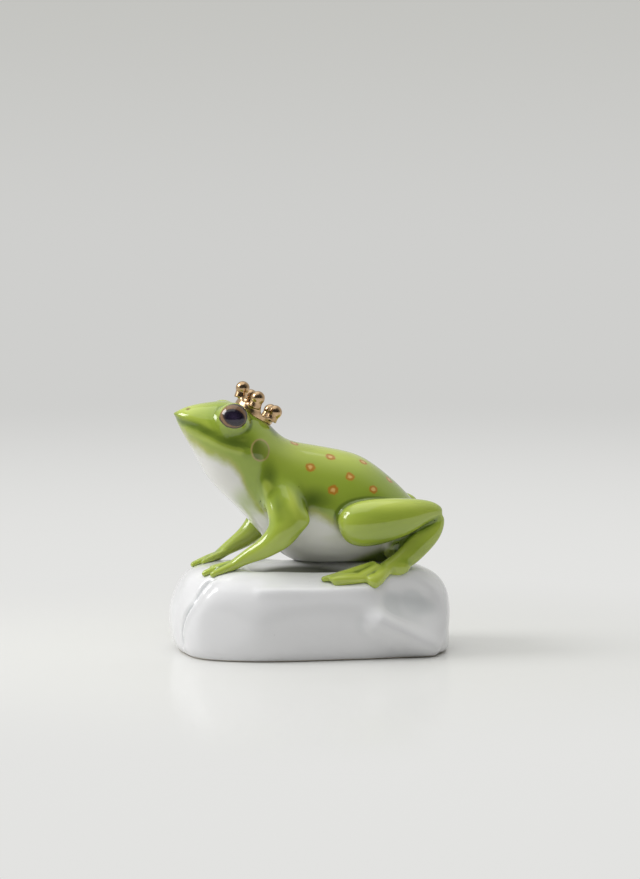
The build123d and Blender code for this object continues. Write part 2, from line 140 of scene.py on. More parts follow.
class Graph:
    """Builds the nodes of one material or node group."""

    def __init__(self, tree: Tree) -> None:
        """Starts on an empty tree."""
        self.tree = tree
        self.tree.nodes.clear()

    def feed(self, socket: Socket, value: object) -> None:
        """Links a socket to another one, or sets its value.

        Args:
            socket: The input.
            value: A socket or a plain value.
        """
        if isinstance(value, Socket):
            self.tree.links.new(value, socket)
        else:
            socket.default_value = value

    def add(self, kind: str, inputs: dict | None = None, **settings: object) -> Node:
        """Adds a node.

        Args:
            kind: Blender's name of the node.
            inputs: Values or sockets for its inputs, by name or number.
            settings: Properties of the node.

        Returns:
            The node.
        """
        node = self.tree.nodes.new(kind)
        for key, value in settings.items():
            setattr(node, key, value)
        for key, value in (inputs or {}).items():
            self.feed(node.inputs[key], value)
        return node

    def sum(self, operation: Sum, a: object, b: object, clamp: bool = False) -> Socket:
        """Adds, takes, multiplies or compares two values."""
        node = self.add("ShaderNodeMath", {0: a, 1: b}, operation=operation.value, use_clamp=clamp)
        return node.outputs[0]

    def times(self, a: object, b: object) -> Socket:
        """Multiplies two values."""
        return self.sum(Sum.TIMES, a, b)

    def parts(self, place: object) -> bpy.types.bpy_prop_collection:
        """The three numbers of a point."""
        return self.add("ShaderNodeSeparateXYZ", {0: place}).outputs

    def step(self, value: object, low: float, high: float) -> Socket:
        """Eases from 0 at low to 1 at high."""
        inputs = {"Value": value, "From Min": low, "From Max": high}
        return self.add("ShaderNodeMapRange", inputs, interpolation_type="SMOOTHSTEP").outputs[0]

    def blend(self, share: object, first: object, second: object) -> Socket:
        """Mixes two colours."""
        return self.add("ShaderNodeMix", {0: share, 6: first, 7: second}, data_type="RGBA").outputs[2]

    def noise(self, place: object, size_mm: float, detail: float = 2.0) -> Socket:
        """Smooth noise of a given grain, around one half."""
        inputs = {"Vector": place, "Scale": 1 / size_mm, "Detail": detail}
        return self.add("ShaderNodeTexNoise", inputs).outputs[0]

    def wobble(self, place: object, size_mm: float, amount: float, detail: float = 2.0) -> Socket:
        """Noise of a given grain and amount, around nothing, for edges drawn by hand."""
        return self.times(self.sum(Sum.TAKE, self.noise(place, size_mm, detail), 0.5), amount)

    def length(self, offset: object) -> Socket:
        """How long a vector is."""
        return self.vector("LENGTH", offset, (0, 0, 0))

    def bump(self, surface: Node, height: object, strength: float, depth: float) -> None:
        """Gives a surface a fine relief, its depth in metres."""
        inputs = {"Height": height, "Strength": strength, "Distance": depth}
        self.feed(surface.inputs["Normal"], self.add("ShaderNodeBump", inputs).outputs[0])

    def place_mm(self) -> Socket:
        """The point on the piece, in millimetres of the frame."""
        place = self.add("ShaderNodeTexCoord").outputs["Object"]
        return self.vector("SCALE", place, 1 / MM)

    def vector(self, operation: str, a: object, b: object) -> Socket:
        """Vector arithmetic, with a number for a scale and a vector otherwise.

        Args:
            operation: Blender's name of it.
            a: The first vector.
            b: A number or the second vector.

        Returns:
            The result's socket.
        """
        if operation == "SCALE":
            return self.add("ShaderNodeVectorMath", {0: a, "Scale": b}, operation=operation).outputs[0]
        node = self.add("ShaderNodeVectorMath", {0: a, 1: b}, operation=operation)
        return node.outputs["Value" if operation in ("DOT_PRODUCT", "LENGTH") else "Vector"]

    def attribute(self, name: str) -> Socket:
        """A number painted on the skin's points."""
        return self.add("ShaderNodeAttribute", attribute_name=name).outputs["Fac"]

    def group(self, tree: Tree, inputs: dict) -> Node:
        """Places a node group.

        Args:
            tree: The group.
            inputs: Values or sockets by name.

        Returns:
            The node.
        """
        node = self.add("ShaderNodeGroup", node_tree=tree)
        for key, value in inputs.items():
            self.feed(node.inputs[key], value)
        return node


def new_group(name: str, inputs: dict[str, str], outputs: dict[str, str]) -> tuple[Graph, object, object]:
    """Starts a shader node group.

    Args:
        name: What the effect is called.
        inputs: Socket types by input name.
        outputs: Socket types by output name.

    Returns:
        The graph, the node that gives its inputs and the node that takes its outputs.
    """
    tree = bpy.data.node_groups.new(name, "ShaderNodeTree")
    for label, kind in inputs.items():
        tree.interface.new_socket(label, in_out="INPUT", socket_type=kind)
    for label, kind in outputs.items():
        tree.interface.new_socket(label, in_out="OUTPUT", socket_type=kind)
    graph = Graph(tree)
    return graph, graph.add("NodeGroupInput"), graph.add("NodeGroupOutput")


VECTOR, NUMBER = "NodeSocketVector", "NodeSocketFloat"


class Effects:
    """Effects that several finishes share, each built once as a node group."""

    def __init__(self) -> None:
        """Builds the groups."""
        self.airbrush = self._airbrush()
        self.ringed_spot = self._ringed_spot()
        self.glaze_flow = self._glaze_flow()
        self.brushed_oval = self._brushed_oval()

    def _airbrush(self) -> Tree:
        """A soft oval breath of colour."""
        graph, given, out = new_group(
            "airbrush", {"Place": VECTOR, "Centre": VECTOR, "Reach": VECTOR}, {"Mask": NUMBER}
        )
        offset = graph.vector("SUBTRACT", given.outputs["Place"], given.outputs["Centre"])
        share = graph.length(graph.vector("DIVIDE", offset, given.outputs["Reach"]))
        graph.feed(out.inputs["Mask"], graph.step(share, 1.0, 0.0))
        return graph.tree

    def _ringed_spot(self) -> Tree:
        """A hand-painted dot: an uneven ring round a paler heart."""
        graph, given, out = new_group(
            "ringed_spot",
            {"Place": VECTOR, "Centre": VECTOR, "Radius": NUMBER},
            {"Ring": NUMBER, "Heart": NUMBER},
        )
        place = given.outputs["Place"]
        offset = graph.vector("SUBTRACT", place, given.outputs["Centre"])
        wobble = graph.wobble(place, 1.3, 1.1)
        reach = graph.sum(Sum.ADD, graph.length(offset), wobble)
        share = graph.sum(Sum.OVER, reach, given.outputs["Radius"])
        graph.feed(out.inputs["Ring"], graph.step(share, 1.08, 0.70))
        graph.feed(out.inputs["Heart"], graph.step(share, 0.56, 0.22))
        return graph.tree

    def _glaze_flow(self) -> Tree:
        """How fired glaze runs: pooled in hollows, thin on ridges, faintly wavy all over."""
        graph, given, out = new_group(
            "glaze_flow",
            {"Place": VECTOR, "Pool": NUMBER},
            {"Hollow": NUMBER, "Ridge": NUMBER, "Wave": NUMBER, "Cloud": NUMBER},
        )
        place, pool = given.outputs["Place"], given.outputs["Pool"]
        graph.feed(out.inputs["Hollow"], graph.step(pool, 0.05, 0.9))
        graph.feed(out.inputs["Ridge"], graph.step(pool, -0.10, -0.9))
        graph.feed(out.inputs["Wave"], graph.noise(place, 5.0, 1.0))
        graph.feed(out.inputs["Cloud"], graph.noise(place, 9.0, 4.0))
        return graph.tree

    def _brushed_oval(self) -> Tree:
        """How far out a point lies in a hand-painted oval, with 1 on its edge."""
        graph, given, out = new_group(
            "brushed_oval",
            {"Place": VECTOR, "Middle": VECTOR, "Across": VECTOR, "Up": VECTOR},
            {"Share": NUMBER},
        )
        place = given.outputs["Place"]
        offset = graph.vector("SUBTRACT", place, given.outputs["Middle"])
        across, up = [graph.vector("DOT_PRODUCT", offset, given.outputs[axis]) for axis in ("Across", "Up")]
        flat = graph.add("ShaderNodeCombineXYZ", {0: across, 1: up}).outputs[0]
        wobble = graph.wobble(place, 1.7, 0.12)
        share = graph.sum(Sum.ADD, graph.length(flat), wobble)
        graph.feed(out.inputs["Share"], share)
        return graph.tree


def new_material(name: str) -> tuple[Graph, Node, Material]:
    """Starts a material with one principled surface.

    Args:
        name: What the finish is called.

    Returns:
        The graph, the surface's node and the material.
    """
    material = bpy.data.materials.new(name)
    material.use_nodes = True
    graph = Graph(material.node_tree)
    surface = graph.add("ShaderNodeBsdfPrincipled")
    output = graph.add("ShaderNodeOutputMaterial")
    graph.feed(output.inputs["Surface"], surface.outputs[0])
    return graph, surface, material


def mirrored(graph: Graph, place: object) -> Socket:
    """Folds the frog's right side and left side onto each other, and returns the folded point.

    Args:
        graph: The material's graph.
        place: Socket of the point in millimetres.

    Returns:
        Socket of the folded point.
    """
    parts = graph.parts(place)
    out = graph.add("ShaderNodeMath", {0: parts[1]}, operation="ABSOLUTE").outputs[0]
    return graph.add("ShaderNodeCombineXYZ", {0: parts[0], 1: out, 2: parts[2]}).outputs[0]


def airbrushed(graph: Graph, effects: Effects, folded: object, touches: tuple) -> object:
    """Lays soft ovals of colour over each other, each on both sides of the frog.

    Args:
        graph: The material's graph.
        effects: The shared effects.
        folded: Socket of the point in millimetres, folded onto one side.
        touches: Airbrush touches.

    Returns:
        Socket of the strongest touch at each point.
    """
    mask = 0.0
    for touch in touches:
        centre = (touch.centre[0], abs(touch.centre[1]), touch.centre[2] + SEAT)
        inputs = {"Place": folded, "Centre": centre, "Reach": touch.reach}
        breath = graph.group(effects.airbrush, inputs).outputs["Mask"]
        mask = graph.sum(Sum.MOST, mask, graph.times(breath, touch.strength))
    return mask


@dataclass(frozen=True)
class Touch:
    """One breath of the airbrush, in millimetres over the rock's seat, on both sides alike."""

    centre: Point
    reach: Point
    strength: float = 1.0


@dataclass(frozen=True)
class Oval:
    """A brushed oval, seen from the side: its middle over the seat, half sizes and tilt down to the rear."""

    middle: tuple[float, float]
    half: tuple[float, float]
    tilt: float = 0.0

    def share(self, graph: Graph, effects: Effects, folded: object) -> Socket:
        """How far out each point lies, with 1 on the oval's edge.

        Args:
            graph: The material's graph.
            effects: The shared effects.
            folded: Socket of the point in millimetres, folded onto one side.

        Returns:
            Socket of the share.
        """
        turn = math.radians(self.tilt)
        across, up = self.half
        inputs = {
            "Place": folded,
            "Middle": (self.middle[0], 0.0, self.middle[1] + SEAT),
            "Across": (math.cos(turn) / across, 0.0, -math.sin(turn) / across),
            "Up": (math.sin(turn) / up, 0.0, math.cos(turn) / up),
        }
        return graph.group(effects.brushed_oval, inputs).outputs["Share"]


@dataclass(frozen=True)
class PaintedEye:
    """An eye painted on its swelling: a dark rim, a tan iris and a tilted dark pupil."""

    outline: Oval = Oval((-27.5, 48.75), (4.65, 4.2), 8.0)
    iris_oval: Oval = Oval((-27.6, 48.5), (4.2, 3.65), 8.0)
    pupil_oval: Oval = Oval((-27.45, 48.15), (3.2, 2.35), 20.0)
    rim: str = "2b1d1d"
    iris: str = "735437"
    iris_light: str = "9b7850"
    pupil: str = "1e1828"
    pupil_glow: str = "342b42"
    side_from: float = 11.2  # millimetres out from the middle where the brush starts

    def over(self, graph: Graph, effects: Effects, folded: object, colour: object) -> object:
        """Paints the eye over a colour, and returns the new colour.

        Args:
            graph: The material's graph.
            effects: The shared effects.
            folded: Socket of the point in millimetres, folded onto one side.
            colour: The colour under it.

        Returns:
            The new colour.
        """
        parts = graph.parts(folded)
        side = graph.step(parts[1], self.side_from, self.side_from + 1.0)
        outline, iris, pupil = [
            oval.share(graph, effects, folded) for oval in (self.outline, self.iris_oval, self.pupil_oval)
        ]
        streak = graph.step(graph.noise(folded, 0.9, 3.0), 0.3, 0.75)
        along, level = self.iris_oval.middle
        lower = graph.step(parts[2], level + SEAT + 2.5, level + SEAT - 3.0)
        ahead = graph.step(parts[0], along + 2.0, along - 3.6)
        glow = graph.times(graph.sum(Sum.ADD, lower, ahead, clamp=True), 0.75)
        tan = graph.blend(graph.times(streak, glow), paint(self.iris), paint(self.iris_light))
        tan = graph.blend(graph.times(glow, 0.6), tan, paint(self.iris_light))
        dark = graph.blend(graph.step(pupil, 0.85, 0.0), paint(self.pupil), paint(self.pupil_glow))
        eye = graph.blend(graph.step(iris, 0.93, 1.04), tan, paint(self.rim))
        eye = graph.blend(graph.step(pupil, 1.22, 1.06), eye, paint(self.rim))
        eye = graph.blend(graph.step(pupil, 1.04, 0.92), eye, dark)
        return graph.blend(graph.times(graph.step(outline, 1.04, 0.96), side), colour, eye)


@dataclass(frozen=True)
class PaintedEar:
    """A painted ear drum: a disc darkened at its front with painted shade, in a thin tan ring."""

    disc: Oval = Oval((-18.9, 37.5), (3.2, 3.6), 0.0)
    green: str = "8c9c3e"
    # painted shade on the front half of the disc
    shade: str = "66762a"
    ring: str = "b3a066"
    side_from: float = 9.0

    def over(self, graph: Graph, effects: Effects, folded: object, colour: object) -> object:
        """Paints the ear drum over a colour, and returns the new colour.

        Args:
            graph: The material's graph.
            effects: The shared effects.
            folded: Socket of the point in millimetres, folded onto one side.
            colour: The colour under it.

        Returns:
            The new colour.
        """
        parts = graph.parts(folded)
        side = graph.step(parts[1], self.side_from, self.side_from + 1.0)
        share = self.disc.share(graph, effects, folded)
        # The disc's front half is darkened as painted shade
        front = graph.step(parts[0], self.disc.middle[0] + 2.4, self.disc.middle[0] - 2.2)
        inner = graph.blend(front, paint(self.green), paint(self.shade))
        inside = graph.times(graph.step(share, 1.0, 0.9), side)
        colour = graph.blend(inside, colour, inner)
        ring = graph.times(graph.step(share, 0.80, 0.92), graph.step(share, 1.08, 0.97))
        return graph.blend(graph.times(graph.times(ring, side), 0.8), colour, paint(self.ring))


@dataclass(frozen=True)
class GreenGlaze:
    """The frog's skin: airbrushed greens over white porcelain with painted light and painted shade, ringed
    spots and a painted face.
    """

    # Pale green of the painted light on lit tops, and of thin glaze on ridges
    light: str = "cbd95f"
    middle: str = "98ae3c"
    # Dark green of the painted shade, of glaze pooled in hollows and of the mouth line
    deep: str = "566b22"
    white: str = "e6e5e1"
    lip: str = "bdb964"
    ring: str = "be7c2a"
    heart: str = "e8c274"
    brown: str = "7d4f26"
    eye: PaintedEye = PaintedEye()
    ear: PaintedEar = PaintedEar()
    spot_radius: float = 1.75
    spots: tuple[Point, ...] = (
        (-5.9, -4.0, 38.4),
        (5.4, -9.0, 34.9),
        (16.4, -7.0, 32.1),
        (-2.2, -13.0, 31.6),
        (10.7, -14.0, 28.3),
        (25.6, -8.0, 27.1),
        (4.6, -16.5, 24.4),
        (18.2, -15.0, 24.0),
        (-4.4, 5.2, 38.0),
        (6.8, 8.2, 35.4),
        (18.0, 7.8, 31.2),
        (-1.0, 13.6, 31.0),
        (12.0, 13.4, 28.6),
        (26.6, 7.4, 26.6),
        (5.6, 16.4, 24.0),
        (19.4, 14.8, 23.4),
    )
    # Height of the white belly's edge over the seat, along the frog
    belly_edge: tuple[tuple[float, float], ...] = (
        (-46.0, 46.0),
        (-43.0, 43.5),
        (-40.0, 40.8),
        (-37.0, 38.2),
        (-32.0, 36.0),
        (-27.5, 33.0),
        (-24.0, 27.5),
        (-21.5, 22.5),
        (-17.0, 18.0),
        (-8.0, 17.6),
        (-2.0, 17.4),
        (6.0, 13.6),
        (14.0, 11.0),
        (28.0, 8.0),
        (40.0, 6.0),
    )
    # The rump is green below a line that climbs to the rear: where it starts over the seat, and its climb
    rump_line: tuple[float, float, float] = (10.6, -0.7, 0.5)
    # Painted shade: the neck behind the jaw, the creases round the upper arm, the lower flank, the rump under
    # the thigh, the cheek, the lower lip and the crown's shadow on the nape
    painted_shade_touches: tuple[Touch, ...] = (
        Touch((-16.5, 14.0, 28.0), (5.0, 7.0, 9.0), 0.95),
        Touch((-13.5, 18.0, 18.0), (3.2, 8.0, 8.0), 0.8),
        Touch((-2.0, 17.0, 21.0), (10.0, 9.0, 6.5), 0.9),
        Touch((12.0, 14.0, 17.0), (12.0, 6.0, 4.0), 0.6),
        Touch((27.0, 13.0, 4.0), (18.0, 14.0, 8.0), 1.0),
        Touch((20.0, 22.0, 7.0), (18.0, 9.0, 4.0), 0.65),
        Touch((-27.0, 14.0, 40.5), (9.0, 9.0, 4.0), 0.85),
        Touch((-37.0, 9.0, 43.0), (8.0, 8.0, 2.4), 0.6),
        Touch((-13.5, 5.0, 43.0), (3.4, 5.0, 5.0), 0.9),
        Touch((-22.0, 12.0, 36.0), (4.0, 7.0, 3.0), 0.5),
    )
    # Painted light: the lit tops of the snout, back, thigh and hind foot, a little on the hand, and a painted
    # highlight on the upper arm
    painted_light_touches: tuple[Touch, ...] = (
        Touch((-38.0, 0.0, 50.0), (12.0, 9.0, 5.0), 0.9),
        Touch((6.0, 0.0, 37.0), (40.0, 24.0, 15.0), 1.0),
        Touch((22.0, 22.0, 20.0), (20.0, 8.0, 4.5), 0.9),
        Touch((14.0, 24.0, -3.0), (18.0, 8.0, 5.0), 1.0),
        Touch((-33.0, 13.0, -1.0), (8.0, 8.0, 4.0), 0.2),
        Touch((-9.5, 20.0, 21.0), (3.0, 6.0, 7.0), 0.6),
    )
    nostril: Touch = Touch((-40.7, 2.9, 50.5), (1.2, 1.3, 1.3), 0.95)
    # Green breathed over the white of the chest and under the jaw
    veils: tuple[Touch, ...] = (
        Touch((-22.0, 8.0, 21.0), (7.0, 10.0, 10.0), 0.7),
        Touch((-30.0, 11.0, 36.0), (9.0, 6.0, 4.0), 0.45),
    )
    mouth_strength: float = 0.8
    lip_strength: float = 0.55
    ring_strength: float = 0.92
    heart_strength: float = 0.85
    wave: tuple[float, float] = (0.12, 0.0002)  # strength and depth of the glaze's waves

    def material(self, effects: Effects, spots: list[Point]) -> Material:
        """Mixes the glaze.

        Args:
            effects: The shared effects.
            spots: Middles of the spots on the skin, in millimetres of the frame.

        Returns:
            The material.
        """
        graph, surface, material = new_material("green_glaze")
        place = graph.place_mm()
        folded = mirrored(graph, place)
        pool = graph.attribute("pool")
        flow = graph.group(effects.glaze_flow, {"Place": place, "Pool": pool}).outputs
        # Painted light brightens the middle green and painted shade darkens it; glaze pooled in hollows
        # darkens it too, and thin glaze pales the ridges
        light = airbrushed(graph, effects, folded, self.painted_light_touches)
        dark = airbrushed(graph, effects, folded, self.painted_shade_touches)
        cloud = graph.times(graph.sum(Sum.TAKE, flow["Cloud"], 0.5), 0.6)
        lit = graph.sum(Sum.ADD, light, cloud, clamp=True)
        colour = graph.blend(lit, paint(self.middle), paint(self.light))
        shade = graph.sum(Sum.MOST, dark, graph.times(flow["Hollow"], 0.8))
        colour = graph.blend(graph.sum(Sum.ADD, shade, cloud, clamp=True), colour, paint(self.deep))
        colour = graph.blend(graph.times(flow["Ridge"], 0.4), colour, paint(self.light))
        colour = self._whites(graph, place, colour)
        colour = graph.blend(airbrushed(graph, effects, folded, self.veils), colour, paint(self.middle))
        mouth = graph.times(graph.attribute("mouth"), self.mouth_strength)
        colour = graph.blend(mouth, colour, paint(self.deep))
        colour = self._spots(graph, effects, place, colour, spots)
        nostril = airbrushed(graph, effects, folded, (self.nostril,))
        colour = graph.blend(nostril, colour, paint(self.brown))
        colour = self.ear.over(graph, effects, folded, colour)
        colour = self.eye.over(graph, effects, folded, colour)
        graph.feed(surface.inputs["Base Color"], colour)
        rough = graph.sum(Sum.ADD, graph.times(flow["Cloud"], 0.08), 0.06)
        graph.feed(surface.inputs["Roughness"], rough)
        surface.inputs["Specular IOR Level"].default_value = 0.5
        surface.inputs["Coat Weight"].default_value = 0.4
        surface.inputs["Coat IOR"].default_value = 1.6
        surface.inputs["Coat Roughness"].default_value = 0.03
        graph.bump(surface, flow["Wave"], *self.wave)
        return material

    def _whites(self, graph: Graph, place: object, colour: object) -> object:
        """Leaves the throat and belly white, with a soft edge and a yellowish lip.

        Args:
            graph: The material's graph.
            place: Socket of the point in millimetres.
            colour: The colour under it.

        Returns:
            The new colour.
        """
        parts = graph.parts(place)
        start, end = self.belly_edge[0][0], self.belly_edge[-1][0]
        top = max(z for _, z in self.belly_edge)
        along = graph.sum(Sum.OVER, graph.sum(Sum.TAKE, parts[0], start), end - start, clamp=True)
        edge = graph.add("ShaderNodeFloatCurve", {"Value": along})
        curve = edge.mapping.curves[0]
        shares = [((x - start) / (end - start), z / top) for x, z in self.belly_edge]
        curve.points[0].location = shares[0]
        curve.points[-1].location = shares[-1]
        for share in shares[1:-1]:
            curve.points.new(*share)
        edge.mapping.update()
        height = graph.sum(Sum.TAKE, parts[2], SEAT)
        gap = graph.sum(Sum.TAKE, graph.times(edge.outputs[0], top), height)
        ragged = graph.wobble(place, 4.0, 3.0, 3.0)
        gap = graph.sum(Sum.ADD, gap, ragged)
        start_x, start_z, climb = self.rump_line
        lowest = graph.sum(Sum.ADD, graph.times(graph.sum(Sum.TAKE, parts[0], start_x), climb), start_z)
        above = graph.step(graph.sum(Sum.TAKE, height, lowest), -2.0, 2.0)
        trunk = graph.sum(Sum.TAKE, above, graph.attribute("limb"), clamp=True)
        lip = graph.times(graph.step(gap, -2.5, 0.5), trunk)
        colour = graph.blend(graph.times(lip, self.lip_strength), colour, paint(self.lip))
        return graph.blend(graph.times(graph.step(gap, -0.5, 3.6), trunk), colour, paint(self.white))

    def _spots(
        self, graph: Graph, effects: Effects, place: object, colour: object, spots: list[Point]
    ) -> object:
        """Paints the ringed spots of the back.

        Args:
            graph: The material's graph.
            effects: The shared effects.
            place: Socket of the point in millimetres.
            colour: The colour under it.
            spots: Middles of the spots in millimetres.

        Returns:
            The new colour.
        """
        ring, heart = 0.0, 0.0
        for number, spot in enumerate(spots):
            radius = self.spot_radius * (1 + 0.08 * math.sin(2.4 * number))
            inputs = {"Place": place, "Centre": spot, "Radius": radius}
            dot = graph.group(effects.ringed_spot, inputs).outputs
            ring = graph.sum(Sum.MOST, ring, dot["Ring"])
            heart = graph.sum(Sum.MOST, heart, dot["Heart"])
        colour = graph.blend(graph.times(ring, self.ring_strength), colour, paint(self.ring))
        return graph.blend(graph.times(heart, self.heart_strength), colour, paint(self.heart))


@dataclass(frozen=True)
class WhiteGlaze:
    """The rock: clear glaze on white porcelain, with a painted shadow under the frog's belly and a bare foot
    rim.
    """

    white: str = "eeeef0"
    pooled: str = "e0e2e4"
    speck: str = "a39c93"
    bare: str = "ddd6c8"
    shadowed: str = "6f7067"  # painted shadow under the frog's belly
    # Where the painted shadow lies, in the seat hollow under the belly
    belly_shadow_touches: tuple[Touch, ...] = (Touch((-6.0, 10.0, -3.5), (26.0, 12.0, 4.5), 1.0),)
    wave: tuple[float, float] = (0.15, 0.0003)  # strength and depth of the glaze's waves
    bare_height: float = 0.45  # millimetres of the foot that the glaze doesn't cover

    def material(self, effects: Effects) -> Material:
        """Mixes the glaze, and returns the material.

        Args:
            effects: The shared effects.

        Returns:
            The material.
        """
        graph, surface, material = new_material("white_glaze")
        place = graph.place_mm()
        flow = graph.group(effects.glaze_flow, {"Place": place, "Pool": graph.attribute("pool")}).outputs
        colour = graph.blend(flow["Hollow"], paint(self.white), paint(self.pooled))
        # Painted shadow of the belly on the seat hollow
        under = airbrushed(graph, effects, mirrored(graph, place), self.belly_shadow_touches)
        colour = graph.blend(graph.step(under, 0.1, 0.6), colour, paint(self.shadowed))
        cells = graph.add("ShaderNodeTexVoronoi", {"Vector": place, "Scale": 1 / 6.0})
        speck = graph.times(graph.step(cells.outputs["Distance"], 0.030, 0.012), 0.5)
        colour = graph.blend(speck, colour, paint(self.speck))
        height = graph.parts(place)[2]
        ragged = graph.sum(Sum.ADD, height, graph.times(flow["Cloud"], 0.3))
        bare = graph.step(ragged, self.bare_height + 0.3, self.bare_height)
        graph.feed(surface.inputs["Base Color"], graph.blend(bare, colour, paint(self.bare)))
        gloss = graph.sum(Sum.ADD, graph.times(flow["Cloud"], 0.12), 0.10)
        rough = graph.sum(Sum.MOST, gloss, graph.times(bare, 0.75))
        graph.feed(surface.inputs["Roughness"], rough)
        surface.inputs["Coat Roughness"].default_value = 0.05
        glossy = graph.times(graph.sum(Sum.TAKE, 1.0, bare), 0.35)
        graph.feed(surface.inputs["Coat Weight"], glossy)
        graph.bump(surface, flow["Wave"], *self.wave)
        return material


@dataclass(frozen=True)
class Gilt:
    """Fired gold on the crown, browner in its hollows and brushed a little matt."""

    gold: str = "cfb08a"
    brown: str = "7a5736"
    brush_grain: float = 0.35  # millimetres
    brushed: tuple[float, float] = (0.08, 0.00003)  # strength and depth of the brush marks

    def material(self, effects: Effects) -> Material:
        """Mixes the gilding, and returns the material.

        Args:
            effects: The shared effects.

        Returns:
            The material.
        """
        graph, surface, material = new_material("gilt")
        place = graph.place_mm()
        flow = graph.group(effects.glaze_flow, {"Place": place, "Pool": graph.attribute("pool")}).outputs
        mottle = graph.step(graph.noise(place, 1.6, 2.0), 0.40, 0.72)
        worn = graph.sum(Sum.MOST, flow["Hollow"], graph.times(mottle, 0.35))
        graph.feed(surface.inputs["Base Color"], graph.blend(worn, paint(self.gold), paint(self.brown)))
        surface.inputs["Metallic"].default_value = 1.0
        rough = graph.sum(Sum.ADD, graph.times(mottle, 0.10), 0.20)
        graph.feed(surface.inputs["Roughness"], rough)
        graph.bump(surface, graph.noise(place, self.brush_grain), *self.brushed)
        return material


def choose(piece: Piece) -> None:
    """Leaves one object selected and active.

    Args:
        piece: The object.
    """
    bpy.ops.object.select_all(action="DESELECT")
    piece.hide_set(False)
    piece.select_set(True)
    bpy.context.view_layer.objects.active = piece


@contextmanager
def edit_mode(piece: Piece) -> Iterator[None]:
    """Opens a piece in edit mode with all of it selected, and leaves edit mode at the end.

    Args:
        piece: The object.
    """
    choose(piece)
    bpy.ops.object.mode_set(mode="EDIT")
    bpy.ops.mesh.select_all(action="SELECT")
    yield
    bpy.ops.object.mode_set(mode="OBJECT")


def turn_to(thing: Piece, towards: Vector) -> None:
    """Turns a lamp or a camera along a direction."""
    thing.rotation_mode = "QUATERNION"
    thing.rotation_quaternion = towards.to_track_quat("-Z", "Y")


def apply_modifier(piece: Piece, kind: str, **settings: object) -> None:
    """Adds a modifier and applies it.

    Args:
        piece: The object.
        kind: Blender's name of the modifier.
        settings: Its properties.
    """
    choose(piece)
    modifier = piece.modifiers.new(kind.lower(), kind)
    for key, value in settings.items():
        setattr(modifier, key, value)
    bpy.ops.object.modifier_apply(modifier=modifier.name)


class Surface:
    """Points, normals and edges of a mesh as arrays."""

    def __init__(self, piece: Piece) -> None:
        """Reads the mesh of a piece."""
        self.mesh = piece.data
        self.count = len(self.mesh.vertices)
        ends = np.zeros(len(self.mesh.edges) * 2, np.int64)
        self.mesh.edges.foreach_get("vertices", ends)
        self.ends = ends.reshape(-1, 2)
        self.degree = np.maximum(np.bincount(ends, minlength=self.count), 1)

    @property
    def points(self) -> np.ndarray:
        """Places of the points in metres."""
        flat = np.zeros(self.count * 3, np.float32)
        self.mesh.vertices.foreach_get("co", flat)
        return flat.reshape(-1, 3).astype(float)

    @points.setter
    def points(self, places: np.ndarray) -> None:
        """Moves the points."""
        self.mesh.vertices.foreach_set("co", places.astype(np.float32).ravel())
        self.mesh.update()

    @property
    def folded_mm(self) -> np.ndarray:
        """Places in millimetres over the seat, with both sides folded onto one."""
        places = self.points / MM - np.array((0.0, 0.0, SEAT))
        places[:, 1] = np.abs(places[:, 1])
        return places

    @property
    def normals(self) -> np.ndarray:
        """Outward directions at the points."""
        flat = np.zeros(self.count * 3, np.float32)
        self.mesh.vertex_normals.foreach_get("vector", flat)
        return flat.reshape(-1, 3).astype(float)

    def spread(self, values: np.ndarray, steps: int) -> np.ndarray:
        """Evens out a value over neighbouring points.

        Args:
            values: One column or more per point.
            steps: How often each point takes half of its neighbours' mean.

        Returns:
            The evened values.
        """
        columns = values.reshape(self.count, -1).copy()
        first, second = self.ends.T
        for _ in range(steps):
            for k in range(columns.shape[1]):
                column = columns[:, k]
                total = np.bincount(first, column[second], self.count)
                total += np.bincount(second, column[first], self.count)
                columns[:, k] = 0.5 * column + 0.5 * total / self.degree
        return columns.reshape(values.shape)

    def store(self, name: str, values: np.ndarray) -> None:
        """Keeps a number, or a vector, per point as an attribute.

        Args:
            name: The attribute's name.
            values: One number or one row per point.
        """
        kind, label = ("FLOAT", "value") if values.ndim == 1 else ("FLOAT_VECTOR", "vector")
        attribute = self.mesh.attributes.new(name, kind, "POINT")
        attribute.data.foreach_set(label, values.astype(np.float32).ravel())


def line_gap(places: np.ndarray, line: tuple[Point, ...]) -> np.ndarray:
    """Measures how far points lie from a line.

    Args:
        places: One row per point.
        line: Corners of the line.

    Returns:
        One distance per point.
    """
    gap = np.full(len(places), np.inf)
    for start, end in zip(line, line[1:]):
        run = np.subtract(end, start)
        share = np.clip((places - start) @ run / (run @ run), 0, 1)
        gap = np.minimum(gap, np.linalg.norm(places - start - share[:, None] * run, axis=1))
    return gap


def ring(middle: Point, facing: Point, radius: float, steps: int = 24) -> tuple[Point, ...]:
    """A closed line round a button.

    Args:
        middle: Middle of the ring.
        facing: The way that the button looks.
        radius: Of the ring.
        steps: How many straight runs it has.

    Returns:
        Its corners, the first one again at the end.
    """
    axis = Vector(facing).normalized()
    arm = axis.orthogonal().normalized() * radius
    turns = [Quaternion(axis, 2 * math.pi * k / steps) for k in range(steps + 1)]
    return tuple(tuple(Vector(middle) + turn @ arm) for turn in turns)


